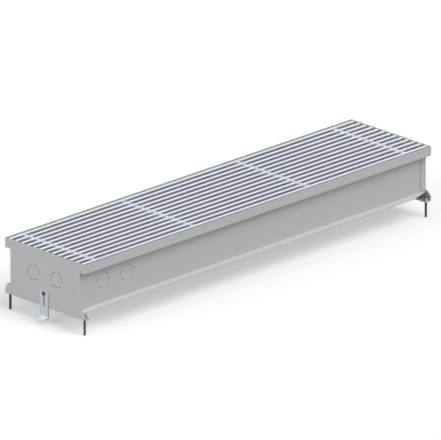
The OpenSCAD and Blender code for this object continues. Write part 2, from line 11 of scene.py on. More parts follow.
import bpy
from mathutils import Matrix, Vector


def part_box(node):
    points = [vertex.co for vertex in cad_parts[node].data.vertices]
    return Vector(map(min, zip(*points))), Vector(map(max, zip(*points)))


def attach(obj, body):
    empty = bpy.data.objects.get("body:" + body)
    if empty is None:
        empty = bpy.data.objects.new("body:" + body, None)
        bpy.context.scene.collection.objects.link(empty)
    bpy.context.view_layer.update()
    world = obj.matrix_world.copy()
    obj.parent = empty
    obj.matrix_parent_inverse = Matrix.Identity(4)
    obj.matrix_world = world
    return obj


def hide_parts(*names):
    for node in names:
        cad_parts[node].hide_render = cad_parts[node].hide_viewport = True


MM = 0.001
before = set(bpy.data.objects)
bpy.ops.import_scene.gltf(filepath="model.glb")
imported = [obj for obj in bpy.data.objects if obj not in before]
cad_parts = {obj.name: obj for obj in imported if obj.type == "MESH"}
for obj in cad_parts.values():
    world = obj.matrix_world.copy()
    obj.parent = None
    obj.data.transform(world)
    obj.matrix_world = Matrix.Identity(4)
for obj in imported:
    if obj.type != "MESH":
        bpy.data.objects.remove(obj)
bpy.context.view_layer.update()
print("nodes:", len(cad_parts))

# %% [markdown]
# ## Small tools for node trees
# A finish and a repeated part are both node trees here. They could be clicked together by hand,
# but written down they read as a recipe and can be made again. Four short helpers serve for
# that: one adds a node and feeds its inputs, one does a sum, one mixes two values, and one makes
# an empty group with named sockets. A Mix node repeats its labels for every kind of value, so
# its sockets go by number: first value, second value and result.

# %% Node helpers
MIX_SOCKETS = {"FLOAT": (2, 3, 0), "RGBA": (6, 7, 2)}


def add(tree, kind, feeds=None, **options):
    """A new node, its options set and its inputs fed with sockets or plain values."""
    made = tree.nodes.new(kind)
    for option, value in options.items():
        setattr(made, option, value)
    for label, value in (feeds or {}).items():
        if isinstance(value, bpy.types.NodeSocket):
            tree.links.new(value, made.inputs[label])
        else:
            made.inputs[label].default_value = value
    return made


def sums(tree, operation, *values):
    """The result of one Math node."""
    return add(tree, "ShaderNodeMath", dict(enumerate(values)), operation=operation).outputs[0]


def mixed(tree, kind, factor, first, second):
    """The first value where the factor is 0, the second where it is 1, and a mix between."""
    first_socket, second_socket, result = MIX_SOCKETS[kind]
    feeds = {0: factor, first_socket: first, second_socket: second}
    return add(tree, "ShaderNodeMix", feeds, data_type=kind).outputs[result]


def new_group(kind, name, inputs, outputs):
    """An empty node group with named sockets, and its two end nodes."""
    tree = bpy.data.node_groups.new(name, kind)
    for label, socket_type, value in inputs:
        socket = tree.interface.new_socket(label, in_out="INPUT", socket_type=socket_type)
        if value is not None:
            socket.default_value = value
    for label, socket_type in outputs:
        tree.interface.new_socket(label, in_out="OUTPUT", socket_type=socket_type)
    return tree, tree.nodes.new("NodeGroupInput").outputs, tree.nodes.new("NodeGroupOutput").inputs


print("kinds of mix:", *MIX_SOCKETS)

# %% [markdown]
# ## Colours
# A colour is easiest to choose as it looks on a screen, in numbers up to 255, but a shader wants
# the light that it stands for. The screen's own standard formula turns the first into the second.

# %% Turn a screen colour into light
def srgb(red, green, blue):
    """A colour as it looks on a screen, from 0 to 255, turned into light."""
    parts = [value / 255 for value in (red, green, blue)]
    light = [p / 12.92 if p <= 0.04045 else ((p + 0.055) / 1.055) ** 2.4 for p in parts]
    return (*light, 1.0)


print("coat grey in light:", [round(value, 3) for value in srgb(176, 176, 176)])

# %% [markdown]
# ## Effects that several finishes share
# Real sheet and bar stock is never one flat tone. Three things show in nearly all of it: broad
# clouding where the coat or the plating is a little thicker, a fine grain, and on drawn or
# extruded stock, hair lines along its length. Each is one shader group that puts out a mask from
# 0 to 1 for colour and roughness, and the two fine ones also put out the height for a relief.
# Pictures could do the same, but noise stays sharp at any distance and needs no unwrapping.

# %% Clouding, grain and drawn lines
PLACE = ("Place", "NodeSocketVector", None)
MASK, HEIGHT = ("Mask", "NodeSocketFloat"), ("Height", "NodeSocketFloat")


def spread_noise(tree, place, scale, detail, roughness, margin):
    """A mask that spreads the middle of a noise from 0 to 1, and the noise itself."""
    noise = add(tree, "ShaderNodeTexNoise", {
        "Vector": place, "Scale": scale, "Detail": detail, "Roughness": roughness,
    }).outputs[0]
    mask = add(tree, "ShaderNodeMapRange", {
        "Value": noise, "From Min": margin, "From Max": 1.0 - margin,
    }).outputs[0]
    return mask, noise


def make_clouding():
    """Broad soft clouds."""
    tree, given, result = new_group(
        "ShaderNodeTree", "clouding", [PLACE, ("Scale", "NodeSocketFloat", 6.0)], [MASK],
    )
    mask, _ = spread_noise(tree, given["Place"], given["Scale"], detail=3.0, roughness=0.55,
                           margin=0.32)
    tree.links.new(mask, result["Mask"])
    return tree


def make_grain():
    """Fine even grain, as in a sprayed coat or a plated skin."""
    tree, given, result = new_group(
        "ShaderNodeTree", "grain", [PLACE, ("Scale", "NodeSocketFloat", 700.0)], [MASK, HEIGHT],
    )
    mask, noise = spread_noise(tree, given["Place"], given["Scale"], detail=2.0, roughness=0.6,
                               margin=0.35)
    tree.links.new(mask, result["Mask"])
    tree.links.new(noise, result["Height"])
    return tree


def make_drawn_lines():
    """Hair lines along a bar: noise that is stretched along one axis."""
    tree, given, result = new_group(
        "ShaderNodeTree", "drawn_lines",
        [PLACE, ("Stretch", "NodeSocketVector", (4.0, 900.0, 900.0))], [MASK, HEIGHT],
    )
    squeezed = add(tree, "ShaderNodeVectorMath", {0: given["Place"], 1: given["Stretch"]},
                   operation="MULTIPLY").outputs[0]
    mask, noise = spread_noise(tree, squeezed, scale=1.0, detail=3.0, roughness=0.65, margin=0.3)
    tree.links.new(mask, result["Mask"])
    tree.links.new(noise, result["Height"])
    return tree


CLOUDING, GRAIN, DRAWN_LINES = make_clouding(), make_grain(), make_drawn_lines()
print("shared effects:", CLOUDING.name, GRAIN.name, DRAWN_LINES.name)

# %% [markdown]
# ## A finish
# Every finish mixes two tones by the clouding and the grain or hair lines. The fine mask also
# moves the roughness a little, and its height gives a relief that is a small part of a
# millimetre deep. Numbers that are the same all over, such as how metallic a thing is, are set
# on the shader itself. Each material could have a tree of its own, but one function for all of
# them keeps the recipe in one place.

# %% Make a finish
FED_SOCKETS = ("Base Color", "Roughness", "Normal")
CLOUD_SHARE = 0.5


def place_of(tree):
    """The point on the piece, in metres, which stays on it when it moves."""
    return add(tree, "ShaderNodeTexCoord").outputs["Object"]


def use(tree, group, **feeds):
    """Places a shared effect in a finish."""
    return add(tree, "ShaderNodeGroup", feeds, node_tree=group).outputs


def finish(name, light, dark, smooth, rough, relief, cloud_scale, texture, **sockets):
    """A material with two tones, two roughnesses and a fine relief in millimetres."""
    material = bpy.data.materials.new(name)
    material.use_nodes = True
    material.diffuse_color = light
    tree = material.node_tree
    shader = tree.nodes["Principled BSDF"]
    for label, value in sockets.items():
        shader.inputs[label.replace("_", " ")].default_value = value
    place = place_of(tree)
    group, feeds = texture
    clouds = use(tree, CLOUDING, Place=place, Scale=cloud_scale)["Mask"]
    fine = use(tree, group, Place=place, **feeds)
    cloudy = sums(tree, "MULTIPLY", clouds, CLOUD_SHARE)
    both = sums(tree, "MULTIPLY_ADD", fine["Mask"], 1.0 - CLOUD_SHARE, cloudy)
    tone = mixed(tree, "RGBA", both, dark, light)
    gloss = add(tree, "ShaderNodeMapRange", {
        "Value": fine["Mask"], "To Min": smooth, "To Max": rough,
    }).outputs[0]
    bump = add(tree, "ShaderNodeBump", {
        "Height": fine["Height"], "Distance": relief * MM, "Strength": 1.0,
    }).outputs[0]
    for label, value in zip(FED_SOCKETS, (tone, gloss, bump)):
        tree.links.new(value, shader.inputs[label])
    return material


def paint(material, *nodes):
    """Gives fixed nodes this finish."""
    for name in nodes:
        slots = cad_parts[name].data.materials
        slots.clear()
        slots.append(material)


print("a finish feeds:", ", ".join(FED_SOCKETS))

# %% [markdown]
# ## The casing's grey coat
# The trough is sheet steel with a smooth satin coat in a plain middle grey. Seen close, such a
# coat has a faint orange peel. It is far finer than the faces of the mesh, so it isn't modelled:
# a fine grain in the relief gives it.

# %% Coat the sheet parts
grey_coat = finish(
    "grey_coat", light=srgb(176, 176, 176), dark=srgb(172, 172, 172), smooth=0.42, rough=0.52,
    relief=0.02, cloud_scale=5.0, texture=(GRAIN, {"Scale": 900.0}), Specular_IOR_Level=0.35,
)
SHEET_PARTS = [
    "base_plate", "near_end_plate", "far_end_plate", "cross_brace_near", "cross_brace_far",
    "coil_support_near", "coil_support_middle", "coil_support_far",
]
paint(grey_coat, *SHEET_PARTS)
print("coated sheet parts:", len(SHEET_PARTS))

# %% [markdown]
# ## The side panels' foot in painted light
# The foot flange of the long side faces up and should look a clear shade lighter than its wall,
# and the lamps alone leave it too dark. So the side panels get a coat of their own with painted
# light: it turns to a lighter tone below the upper face of the flange. The panel could be cut in
# two for that, but the fixed mesh stays whole. The coat reads the height on the piece instead,
# so the painted light stays in place when the piece moves.

# %% Coat the side panels
# Painted light: a lighter tone on the up-facing foot flange stands for the light that falls on it.
PANEL_FOOT_PAINTED_LIGHT = srgb(194, 194, 194)
PANEL_SHEET = 1.25 * MM
FOOT_BLEND = 0.5 * MM


def with_painted_light_foot(upper, name, painted_foot_light, foot_top):
    """A copy of a finish that turns to a lighter tone, painted light, below the foot's upper face.
    """
    material = upper.copy()
    material.name = name
    tree = material.node_tree
    shader = tree.nodes["Principled BSDF"]
    upper_tone = shader.inputs["Base Color"].links[0].from_socket
    height = add(tree, "ShaderNodeSeparateXYZ", {0: place_of(tree)}).outputs["Z"]
    is_above = add(tree, "ShaderNodeMapRange", {
        "Value": height, "From Min": foot_top, "From Max": foot_top + FOOT_BLEND,
    }).outputs[0]
    tone = mixed(tree, "RGBA", is_above, painted_foot_light, upper_tone)
    tree.links.new(tone, shader.inputs["Base Color"])
    return material


flange_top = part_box("front_side_panel")[0].z + PANEL_SHEET
side_coat_painted_light = with_painted_light_foot(grey_coat, "side_coat_painted_light", PANEL_FOOT_PAINTED_LIGHT, flange_top)
paint(side_coat_painted_light, "front_side_panel", "back_side_panel")
print("flange top in mm:", round(flange_top / MM, 2))

# %% [markdown]
# ## The grille's bars, rods and sleeves
# The bars are extruded aluminium with a natural anodised skin. The die leaves hair lines along
# the bar, and the oxide makes the metal a little cool and soft, so it mirrors the bright room
# only as a broad sheen. The lines are noise that is squeezed across the bar, which fits a bar of
# any length. The rods run across, so theirs is squeezed along the other axes.

# %% Anodise the grille
bar_skin = finish(
    "anodised_bar", light=srgb(229, 231, 239), dark=srgb(219, 221, 230), smooth=0.28, rough=0.4,
    relief=0.012, cloud_scale=9.0, texture=(DRAWN_LINES, {"Stretch": (3.0, 1400.0, 1400.0)}),
    Metallic=0.85,
)
rod_skin = finish(
    "anodised_rod", light=srgb(208, 212, 223), dark=srgb(190, 194, 206), smooth=0.4, rough=0.55,
    relief=0.01, cloud_scale=20.0, texture=(DRAWN_LINES, {"Stretch": (1400.0, 6.0, 1400.0)}),
    Metallic=0.85,
)
bars = sorted(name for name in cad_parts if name.startswith("grille_bar_"))
rods = sorted(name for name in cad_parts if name.startswith("grille_rod_"))
paint(bar_skin, *bars)
paint(rod_skin, *rods, "grille_spacers")
print("bars:", len(bars), "rods:", len(rods))

# %% [markdown]
# ## Plated, dark and black steel
# The floor brackets, their washers and clinch nuts are bright zinc with a bluish cast. The weld
# nuts are plain steel, the levelling studs are darker, and the clamping screws have a black
# oxide skin. The four differ only in tone, gloss and how metallic they are, so one recipe with
# other numbers makes them all.

# %% Finish the steel fittings
zinc_plate = finish(
    "zinc_plate", light=srgb(208, 211, 218), dark=srgb(196, 199, 207), smooth=0.26, rough=0.36,
    relief=0.004, cloud_scale=60.0, texture=(GRAIN, {"Scale": 1200.0}), Metallic=0.45,
)
plain_steel = finish(
    "plain_steel", light=srgb(196, 196, 197), dark=srgb(160, 160, 162), smooth=0.3, rough=0.5,
    relief=0.015, cloud_scale=120.0, texture=(GRAIN, {"Scale": 1500.0}), Metallic=0.8,
)
dark_steel = finish(
    "dark_steel", light=srgb(104, 104, 105), dark=srgb(84, 84, 86), smooth=0.38, rough=0.55,
    relief=0.015, cloud_scale=120.0, texture=(GRAIN, {"Scale": 1500.0}), Metallic=0.6,
)
black_oxide = finish(
    "black_oxide", light=srgb(34, 34, 37), dark=srgb(22, 22, 25), smooth=0.18, rough=0.3,
    relief=0.01, cloud_scale=150.0, texture=(GRAIN, {"Scale": 1800.0}), Specular_IOR_Level=1.0,
)
paint(zinc_plate, "bracket_washers", "bracket_nuts")
print("steels:", zinc_plate.name, plain_steel.name, dark_steel.name, black_oxide.name)

# %% [markdown]
# ## The brackets' foot in painted light
# The foot of a floor bracket lies flat under the bright sky and should look nearly white. So the
# brackets take the zinc with painted light on the foot, as the side panels take their coat.

# %% Plate the floor brackets
# Painted light: the nearly white foot stands for the bright sky falling on it.
BRACKET_FOOT_PAINTED_LIGHT = srgb(244, 245, 249)
BRACKET_SHEET = 3 * MM
bracket_foot_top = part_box("near_floor_bracket")[0].z + BRACKET_SHEET
bracket_plate_painted_light = with_painted_light_foot(zinc_plate, "bracket_plate_painted_light", BRACKET_FOOT_PAINTED_LIGHT, bracket_foot_top)
paint(bracket_plate_painted_light, "near_floor_bracket", "far_floor_bracket")
print("bracket foot top in mm:", round(bracket_foot_top / MM, 2))

# %% [markdown]
# ## The coil's metals and the tape
# Inside lie copper pipes, brass connections and thin aluminium fins, and under the outer bars a
# strip of black foam tape that stops the grille from rattling. Little of them shows between the
# bars, so the same recipe is enough. Copper dulls unevenly, so its two tones lie far apart. The
# foam has a deep relief and no shine.

# %% Finish the coil and the tape
plain_copper = finish(
    "plain_copper", light=srgb(214, 148, 112), dark=srgb(168, 104, 76), smooth=0.25, rough=0.45,
    relief=0.01, cloud_scale=35.0, texture=(DRAWN_LINES, {"Stretch": (5.0, 1200.0, 1200.0)}),
    Metallic=0.95,
)
plain_brass = finish(
    "plain_brass", light=srgb(222, 196, 128), dark=srgb(190, 160, 96), smooth=0.25, rough=0.42,
    relief=0.012, cloud_scale=60.0, texture=(GRAIN, {"Scale": 900.0}), Metallic=0.95,
)
thin_aluminium = finish(
    "thin_aluminium", light=srgb(222, 224, 226), dark=srgb(200, 203, 206), smooth=0.32, rough=0.5,
    relief=0.01, cloud_scale=40.0, texture=(DRAWN_LINES, {"Stretch": (900.0, 900.0, 8.0)}),
    Metallic=0.9,
)
foam_tape = finish(
    "foam_tape", light=srgb(52, 52, 53), dark=srgb(34, 34, 35), smooth=0.85, rough=0.98,
    relief=0.25, cloud_scale=80.0, texture=(GRAIN, {"Scale": 1100.0}), Specular_IOR_Level=0.15,
)
paint(plain_copper, "front_pipe", "back_pipe", "return_bend")
paint(plain_brass, "flow_connection", "return_connection", "bleed_valve_body", "bleed_screw")
paint(foam_tape, "front_rest_tape", "back_rest_tape")
print("coil and tape:", plain_copper.name, plain_brass.name, thin_aluminium.name, foam_tape.name)

# %% [markdown]
# ## Sums and vectors with short names
# Threads, nuts, rivets and fins follow a rule and repeat. They could be modelled once by hand
# and copied, but a geometry tree makes them from named sizes, so they follow the construction.
# Such trees are full of small sums. A few helpers with plain names keep the formulas readable.

# %% Name the common sums
UP = (0, 0, 1)
ALONG = (1, 0, 0)


def minus(tree, value, taken):
    """A value less what is taken from it."""
    return sums(tree, "SUBTRACT", value, taken)


def times(tree, value, factor):
    """A value times a factor."""
    return sums(tree, "MULTIPLY", value, factor)


def halved(tree, value):
    """Half of a value."""
    return times(tree, value, 0.5)


def doubled(tree, value):
    """Twice a value, for a cutter that stands out as far as it goes in."""
    return times(tree, value, 2.0)


def vector(tree, x=0.0, y=0.0, z=0.0):
    """A vector from its three parts."""
    return add(tree, "ShaderNodeCombineXYZ", {"X": x, "Y": y, "Z": z}).outputs[0]


def position(tree):
    """The three parts of each point's place."""
    place = add(tree, "GeometryNodeInputPosition").outputs[0]
    return add(tree, "ShaderNodeSeparateXYZ", {0: place}).outputs


print("up is", UP, "and along the trough is", ALONG)

# %% [markdown]
# ## How every geometry tree starts and ends
# Each tree takes the sites as the points of a small mesh, makes one part, and puts a copy on
# every site. The copies could be placed by hand, but then a longer trough would need it done
# again. The casing's two ends mirror each other, so the part's axis is mirrored at the near end.

# %% Start and end a geometry tree
SHARED_INPUTS = ("Sites", "Axis", "Finish")


def maker(name, sizes):
    """An empty geometry tree that takes sites, an axis, named sizes and a finish."""
    sites, axis, coat = SHARED_INPUTS
    inputs = [(sites, "NodeSocketGeometry", None), (axis, "NodeSocketVector", UP)]
    inputs += [(label, "NodeSocketFloat", value) for label, value in sizes.items()]
    inputs += [(coat, "NodeSocketMaterial", None)]
    return new_group("GeometryNodeTree", name, inputs, [("Geometry", "NodeSocketGeometry")])


def put_on_sites(tree, given, result, part):
    """Puts a copy of the part on every site, its axis mirrored at the near end."""
    mirror = vector(tree, sums(tree, "SIGN", position(tree)["X"]), 1.0, 1.0)
    axis = add(tree, "ShaderNodeVectorMath", {0: given["Axis"], 1: mirror}, operation="MULTIPLY")
    turned = add(tree, "FunctionNodeAlignRotationToVector", {"Vector": axis.outputs[0]}, axis="Z")
    copies = add(tree, "GeometryNodeInstanceOnPoints", {
        "Points": given["Sites"], "Instance": part, "Rotation": turned.outputs[0],
    })
    real = add(tree, "GeometryNodeRealizeInstances", {0: copies.outputs[0]})
    coated = add(tree, "GeometryNodeSetMaterial", {
        "Geometry": real.outputs[0], "Material": given["Finish"],
    })
    tree.links.new(coated.outputs[0], result["Geometry"])


print("every tree takes:", ", ".join(SHARED_INPUTS), "and its own sizes")

# %% [markdown]
# ## Plain meshes from the trees
# A live tree could stay on its object, but other programs can't read it. So each result is
# frozen into one plain mesh. The mesh then rides on the body that it moves with, takes the place
# of the fixed solid, and names the slot that its finish fills. Faces that meet at more than the
# sharp angle keep a crisp edge between them.

# %% Freeze a tree into a piece
SHARP_ANGLE = math.radians(35)


def run_tree(name, tree, sites, sizes, material):
    """What a geometry tree makes on the sites, as one plain mesh."""
    points = bpy.data.meshes.new(name + "_sites")
    points.from_pydata([tuple(site) for site in sites], [], [])
    holder = bpy.data.objects.new(name + "_holder", points)
    bpy.context.scene.collection.objects.link(holder)
    modifier = holder.modifiers.new("maker", "NODES")
    modifier.node_group = tree
    socket = {
        item.name: item.identifier
        for item in tree.interface.items_tree
        if item.item_type == "SOCKET" and item.in_out == "INPUT"
    }
    for label, value in {**sizes, "Finish": material}.items():
        modifier[socket[label]] = value
    graph = bpy.context.evaluated_depsgraph_get()
    graph.update()
    mesh = bpy.data.meshes.new_from_object(holder.evaluated_get(graph), depsgraph=graph)
    bpy.data.objects.remove(holder)
    return mesh


def freeze(name, tree, sites, sizes, material, body, replaced):
    """Puts the plain mesh of a tree into the scene, as a piece of its body."""
    mesh = run_tree(name, tree, sites, sizes, material)
    mesh.name = name
    mesh.set_sharp_from_angle(angle=SHARP_ANGLE)
    piece = bpy.data.objects.new(name, mesh)
    bpy.context.scene.collection.objects.link(piece)
    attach(piece, body)
    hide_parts(replaced)
    print(name, "has", len(mesh.polygons), "faces")


print("sharp from", round(math.degrees(SHARP_ANGLE)), "degrees")

# %% [markdown]
# ## Shaping round parts
# Every small part here is turned or drilled, so it starts as a cylinder round an upright axis.
# Its points could be moved with loops over the mesh, but a tree does it for all of them at once:
# it reads how high and how far out a point lies and in which direction, and then gives it a new
# distance and height. The ends of a blank that gets bent are fans of triangles, because flat
# faces with many corners would not stay flat.

# %% Turn round blanks
SIDES = 24
FAN = {"fill_type": "TRIANGLE_FAN"}


def cylinder(tree, sides, radius, depth, rings=None, **options):
    """A cylinder round the axis, with its middle at the origin."""
    feeds = {"Vertices": sides, "Radius": radius, "Depth": depth, **(rings or {})}
    return add(tree, "GeometryNodeMeshCylinder", feeds, **options).outputs["Mesh"]


def polar(tree):
    """Each point's height, angle in turns, distance from the axis and direction from it."""
    at = position(tree)
    angle = sums(tree, "ARCTAN2", at["Y"], at["X"])
    flat = vector(tree, at["X"], at["Y"])
    outwards = add(tree, "ShaderNodeVectorMath", {0: flat}, operation="NORMALIZE").outputs[0]
    reach = add(tree, "ShaderNodeVectorMath", {0: flat}, operation="LENGTH").outputs["Value"]
    return at["Z"], sums(tree, "DIVIDE", angle, math.tau), reach, outwards


def bend_to(tree, mesh, outwards, radius, height):
    """Moves each point to a new distance from the axis and a new height."""
    flat = add(tree, "ShaderNodeVectorMath", {0: outwards, "Scale": radius}, operation="SCALE")
    parts = add(tree, "ShaderNodeSeparateXYZ", {0: flat.outputs[0]}).outputs
    place = vector(tree, parts["X"], parts["Y"], height)
    return add(tree, "GeometryNodeSetPosition", {"Geometry": mesh, "Position": place}).outputs[0]


print("sides of a round part:", SIDES)

# %% [markdown]
# ## Moving, cutting and joining
# Driver slots, sockets and bores are openings that one can look into. A dark patch could stand
# for them from afar, but a real cut catches the light on its edges, so cutters take them out of
# the solid as a tool does. Parts with more than one form are joined from simple meshes.

# %% Move, cut and join meshes
def raised(tree, mesh, height):
    """The mesh moved up along the axis."""
    up = vector(tree, z=height)
    return add(tree, "GeometryNodeTransform", {"Geometry": mesh, "Translation": up}).outputs[0]


def cut_away(tree, mesh, *cutters):
    """The mesh without what the cutters take from it."""
    made = add(tree, "GeometryNodeMeshBoolean", {"Mesh 1": mesh}, operation="DIFFERENCE")
    for cutter in cutters:
        tree.links.new(cutter, made.inputs["Mesh 2"])
    return made.outputs["Mesh"]


def joined(tree, *parts):
    """Several meshes as one."""
    together = tree.nodes.new("GeometryNodeJoinGeometry")
    for part in parts:
        tree.links.new(part, together.inputs[0])
    return together.outputs[0]


print("helpers:", ", ".join(helper.__name__ for helper in (raised, cut_away, joined)))

# %% [markdown]
# ## A screw thread
# A thread is a cylinder whose radius rises and falls with the height, and whose pattern turns
# with the angle: one pitch higher after each full turn. A relief alone would leave the outline
# smooth, and a groove cut along a helix makes far more faces. So the tree bends a finely divided
# cylinder with one formula, and the thread, its flat crests and the bevelled ends come from it.
# The flat share is how much of each pitch is flat at the crest, and as much again at the root.

# %% Thread a rod
RINGS_PER_TURN = 6
FLAT_SHARE = 0.15


def threaded_rod(tree, radius, length, pitch, depth, bevel):
    """A threaded rod round the axis, with the middle of its length at the origin."""
    rings = times(tree, sums(tree, "DIVIDE", length, pitch), RINGS_PER_TURN)
    rod = cylinder(tree, SIDES, radius, length, {"Side Segments": rings}, **FAN)
    height, turn, _, outwards = polar(tree)
    phase = sums(tree, "FRACT", minus(tree, sums(tree, "DIVIDE", height, pitch), turn))
    from_root = sums(tree, "ABSOLUTE", sums(tree, "MULTIPLY_ADD", phase, 2.0, -1.0))
    groove = add(tree, "ShaderNodeMapRange", {
        "Value": from_root, "From Min": FLAT_SHARE, "From Max": 1.0 - FLAT_SHARE,
        "To Min": depth, "To Max": 0.0,
    }).outputs[0]
    to_end = minus(tree, halved(tree, length), sums(tree, "ABSOLUTE", height))
    taken = sums(tree, "MAXIMUM", groove, minus(tree, bevel, to_end))
    return bend_to(tree, rod, outwards, minus(tree, radius, taken), height)


print("rings in each turn of a thread:", RINGS_PER_TURN)

# %% [markdown]
# ## Levelling studs
# The trough stands on four threaded studs that level it, and a slot in the upper end of each one
# takes a screwdriver. The stud is a threaded rod that is raised until it stands on its site, and
# a flat bar cuts the slot. The bar is much longer than the stud is wide, so that it leaves no
# corners standing at the sides.

# %% Make a stud
SLOT_REACH = 4.0


def make_stud_tree():
    """A threaded stud with a driver slot in its upper end, standing on its site."""
    tree, given, result = maker("threaded_stud", {
        "Radius": 3 * MM, "Length": 50 * MM, "Pitch": 1 * MM, "Thread Depth": 0.5 * MM,
        "Bevel": 0.8 * MM, "Slot Width": 1 * MM, "Slot Depth": 1.6 * MM,
    })
    rod = threaded_rod(tree, given["Radius"], given["Length"], given["Pitch"],
                       given["Thread Depth"], given["Bevel"])
    past_sides = times(tree, given["Radius"], SLOT_REACH)
    size = vector(tree, past_sides, given["Slot Width"], doubled(tree, given["Slot Depth"]))
    cutter = add(tree, "GeometryNodeMeshCube", {"Size": size}).outputs["Mesh"]
    half = halved(tree, given["Length"])
    slotted = cut_away(tree, rod, raised(tree, cutter, half))
    put_on_sites(tree, given, result, raised(tree, slotted, half))
    return tree


STUD_TREE = make_stud_tree()
print("nodes in the stud's tree:", len(STUD_TREE.nodes))

# %% [markdown]
# ## The studs in their corners
# Each stud screws up and down by itself, so each is a piece of its own body. Its place and size
# could be typed in again, but read from the fixed solid they can't differ from it.

# %% Stand the four levelling studs
CORNERS = ("near_front", "near_back", "far_front", "far_back")


def over(node, z):
    """The point at a height on a node's upright axis."""
    low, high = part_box(node)
    return Vector(((low.x + high.x) / 2, (low.y + high.y) / 2, z))


for corner in CORNERS:
    stud = "levelling_stud_" + corner
    low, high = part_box(stud)
    freeze("threaded_stud_" + corner, STUD_TREE, [over(stud, low.z)],
           {"Radius": (high.x - low.x) / 2, "Length": high.z - low.z}, dark_steel,
           body="stud_" + corner, replaced=stud)

# %% [markdown]
# ## Hexagon nuts
# A hexagon nut is turned from hexagon bar, so a cone takes its six corners off at both ends. The
# edge between a flat and that cone is a curve. A hexagon could be cut with a cone, but the trick
# of the thread gives the curve without a cut. The cylinder's two end rings are drawn in to the
# crown, the round end face, which is a little narrower than the nut is across its flats. The two
# rings between them go out to the hexagon, each point at the height where the cone meets it.

# %% Make a nut
HEXAGON = 6
SIXTH = 1 / HEXAGON
NUT_SIDES = 48
NUT_RINGS = 3
CHAMFER_SLOPE = math.tan(math.radians(30))
END_RINGS_FROM = 0.9
UNIT = 1.0


def hexagon_reach(tree, turn, half_flats):
    """How far out a hexagon lies in the direction of an angle, which is given in turns."""
    shifted = sums(tree, "ADD", turn, SIXTH / 2)
    from_flat = minus(tree, sums(tree, "FLOORED_MODULO", shifted, SIXTH), SIXTH / 2)
    return sums(tree, "DIVIDE", half_flats, sums(tree, "COSINE", times(tree, from_flat, math.tau)))


def make_nut_tree():
    """A hexagon nut with chamfered corners and a plain bore, standing on its site."""
    tree, given, result = maker("hexagon_nut", {
        "Flats": 10 * MM, "Height": 6.5 * MM, "Bore": 3.05 * MM, "Crown": 0.94,
    })
    blank = cylinder(tree, NUT_SIDES, UNIT, given["Height"], {"Side Segments": NUT_RINGS}, **FAN)
    height, turn, _, outwards = polar(tree)
    half = halved(tree, given["Height"])
    half_flats = halved(tree, given["Flats"])
    hexagon = hexagon_reach(tree, turn, half_flats)
    crown = times(tree, half_flats, given["Crown"])
    from_middle = sums(tree, "ABSOLUTE", height)
    is_end = sums(tree, "GREATER_THAN", from_middle, times(tree, half, END_RINGS_FROM))
    drop = times(tree, minus(tree, hexagon, crown), CHAMFER_SLOPE)
    edge_height = times(tree, sums(tree, "SIGN", height), minus(tree, half, drop))
    radius = mixed(tree, "FLOAT", is_end, hexagon, crown)
    level = mixed(tree, "FLOAT", is_end, edge_height, height)
    body = bend_to(tree, blank, outwards, radius, level)
    bore = cylinder(tree, SIDES, given["Bore"], doubled(tree, given["Height"]))
    put_on_sites(tree, given, result, raised(tree, cut_away(tree, body, bore), half))
    return tree


NUT_TREE = make_nut_tree()
print("nodes in the nut's tree:", len(NUT_TREE.nodes))

# %% [markdown]
# ## Weld nuts
# Each stud screws through a nut that is welded to the bottom flange of the end plate. The four
# could be four pieces, but they never move, so they are one piece of the casing. Each site lies
# on the axis of its stud.

# %% Weld the nuts at the corners
nuts_low, nuts_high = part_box("levelling_nuts")
nut_sites = [over("levelling_stud_" + corner, nuts_low.z) for corner in CORNERS]
freeze("weld_nuts", NUT_TREE, nut_sites, {"Height": nuts_high.z - nuts_low.z}, plain_steel,
       body="casing", replaced="levelling_nuts")

# %% [markdown]
# ## Button heads
# The clamping screws and the rivets have a button head: a shallow dome over a low rim, and the
# dome is what catches the light. It could be cut from a ball, but a disc with a few rings is
# lighter: its lower side is laid flat, and its upper side is lifted over the rim in the shape of
# a ball's cap. The cap angle says how far from the top of the ball that cap reaches.

# %% Shape a button head
DOME_RINGS = 6
CAP_ANGLE = math.radians(60)


def dome(tree, radius, height, rim):
    """A button that stands on the origin: a flat base, a low rim and a dome over it."""
    blank = cylinder(tree, SIDES, UNIT, UNIT, {"Fill Segments": DOME_RINGS}, **FAN)
    side, _, reach, outwards = polar(tree)
    squared = times(tree, reach, reach)
    ball = sums(tree, "SQRT", sums(tree, "MULTIPLY_ADD", squared, -math.sin(CAP_ANGLE) ** 2, 1.0))
    edge = math.cos(CAP_ANGLE)
    share = sums(tree, "MULTIPLY_ADD", ball, 1 / (1 - edge), -edge / (1 - edge))
    above_rim = times(tree, minus(tree, height, rim), share)
    is_upper = sums(tree, "GREATER_THAN", side, 0.0)
    level = times(tree, is_upper, sums(tree, "ADD", rim, above_rim))
    return bend_to(tree, blank, outwards, times(tree, reach, radius), level)


print("cap angle in degrees:", round(math.degrees(CAP_ANGLE)))

# %% [markdown]
# ## Clamping screws
# Each floor bracket is clamped by a black button-head screw with a hexagon socket. The head
# stands on the washer, and the threaded shank goes through it and the bracket's slot into the
# end plate. One turned outline could give both, but not the thread and not the socket. So the
# head is bent from a disc, the shank from a long cylinder, and a hexagon key cuts the socket.

